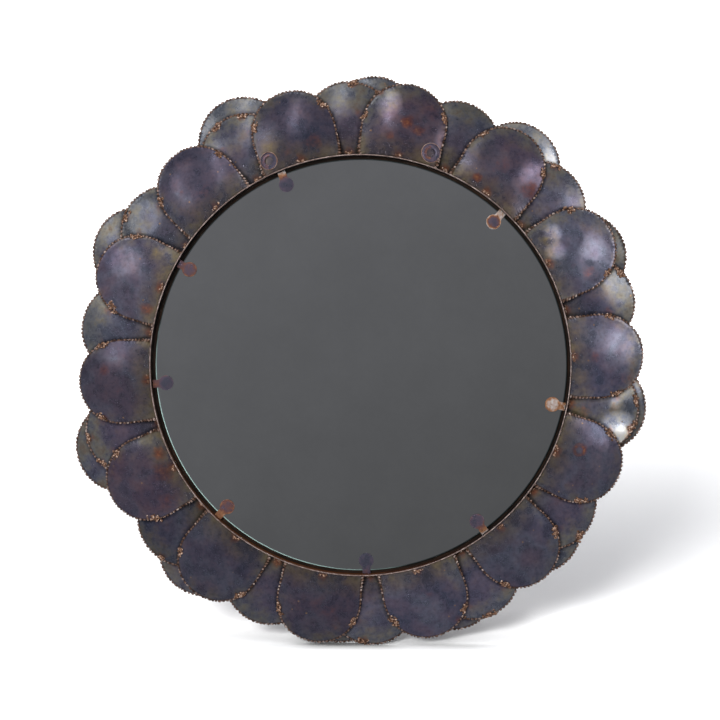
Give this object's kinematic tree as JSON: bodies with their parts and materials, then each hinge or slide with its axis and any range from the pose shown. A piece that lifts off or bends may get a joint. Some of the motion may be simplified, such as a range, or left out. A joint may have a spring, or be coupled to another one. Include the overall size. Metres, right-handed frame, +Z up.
{
  "type": "wall mirror",
  "caption": "Round wall mirror in a deep steel hoop, framed by three overlapping layers of domed, torch-blued steel petals and held by round-ended tabs.",
  "frame": {"origin": "centre of the hoop on the wall plane", "axes": "+Z up, +Y into the wall, -Y the way the glass faces"},
  "size_m": [0.8173, 0.0592, 0.8155],
  "materials": {
    "blued_steel": "torch-blued sheet steel, patchy violet and rust tones, clear lacquer",
    "hoop_steel": "oiled dark steel strip and flat bar",
    "tab_steel": "heat-tinted sheet steel",
    "hanger_steel": "zinc plated",
    "mirror_glass": "silvered float glass",
    "hardboard": "pressed hardboard",
    "braze": "coppery braze filler"
  },
  "bodies": {
    "frame": {"back_petal_01": "blued_steel", "back_petal_02": "blued_steel", "back_petal_03": "blued_steel", "back_petal_04": "blued_steel", "back_petal_05": "blued_steel", "back_petal_06": "blued_steel", "back_petal_07": "blued_steel", "back_petal_08": "blued_steel", "back_petal_09": "blued_steel", "back_petal_10": "blued_steel", "back_petal_11": "blued_steel", "backing_board": "hardboard", "cross_bars": "hoop_steel", "cup_washer_left": "tab_steel", "cup_washer_right": "tab_steel", "front_petal_01": "blued_steel", "front_petal_02": "blued_steel", "front_petal_03": "blued_steel", "front_petal_04": "blued_steel", "front_petal_05": "blued_steel", "front_petal_06": "blued_steel", "front_petal_07": "blued_steel", "front_petal_08": "blued_steel", "front_petal_09": "blued_steel", "front_petal_10": "blued_steel", "front_petal_11": "blued_steel", "front_petal_12": "blued_steel", "front_petal_13": "blued_steel", "front_petal_14": "blued_steel", "glass_ledge": "hoop_steel", "glass_tab_1": "tab_steel", "glass_tab_2": "tab_steel", "glass_tab_3": "tab_steel", "glass_tab_4": "tab_steel", "glass_tab_5": "tab_steel", "glass_tab_6": "tab_steel", "glass_tab_7": "tab_steel", "glass_tab_8": "tab_steel", "hanger_rivets": "hanger_steel", "hanger_straps": "hanger_steel", "mid_petal_01": "blued_steel", "mid_petal_02": "blued_steel", "mid_petal_03": "blued_steel", "mid_petal_04": "blued_steel", "mid_petal_05": "blued_steel", "mid_petal_06": "blued_steel", "mid_petal_07": "blued_steel", "mid_petal_08": "blued_steel", "mid_petal_09": "blued_steel", "mid_petal_10": "blued_steel", "mid_petal_11": "blued_steel", "mid_petal_12": "blued_steel", "mid_petal_13": "blued_steel", "mid_petal_14": "blued_steel", "mirror_glass": "mirror_glass", "petal_tacks": "braze", "rim_band": "hoop_steel", "rim_tacks": "braze"},
    "ring_left": {"hanging_ring_left": "hanger_steel"},
    "ring_right": {"hanging_ring_right": "hanger_steel"}
  },
  "joints": [
    {"name": "ring_left_swing", "type": "hinge", "parent": "frame", "child": "ring_left", "pos_m": [-0.17, -0.00517, 0.157], "axis": [1, 0, 0], "range_deg": [0, 180]},
    {"name": "ring_right_swing", "type": "hinge", "parent": "frame", "child": "ring_right", "pos_m": [0.17, -0.00517, 0.157], "axis": [1, 0, 0], "range_deg": [0, 180]}
  ]
}
